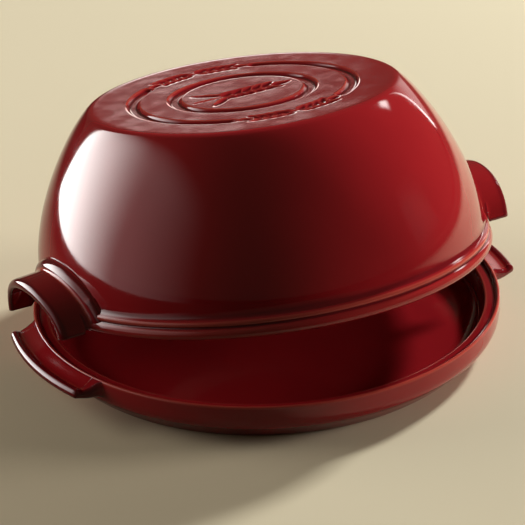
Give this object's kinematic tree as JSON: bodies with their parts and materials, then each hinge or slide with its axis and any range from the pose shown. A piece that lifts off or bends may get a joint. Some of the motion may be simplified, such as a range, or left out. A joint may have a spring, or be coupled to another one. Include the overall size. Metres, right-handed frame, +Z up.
{
  "type": "bread cloche",
  "caption": "Ceramic bread cloche: a shallow round dish with tab handles and a tall flat-topped domed cover with arched handles, propped open along its front.",
  "frame": {"origin": "centre of the dish's foot ring, on the surface the dish stands on", "axes": "+Z up; +X along the line through the handles, which are alike at both ends; the cover's raised front edge is towards -Y and its seated back edge towards +Y"},
  "size_m": [0.316, 0.285, 0.1688],
  "materials": {
    "red_glaze": "gloss"
  },
  "bodies": {
    "dish": {"base_dish": "red_glaze"},
    "lid": {"cloche_lid": "red_glaze"}
  },
  "joints": [
    {"name": "lid_lift", "type": "slide", "parent": "dish", "child": "lid", "axis": [0, 0, 1], "range_m": [0, 0.2]}
  ]
}
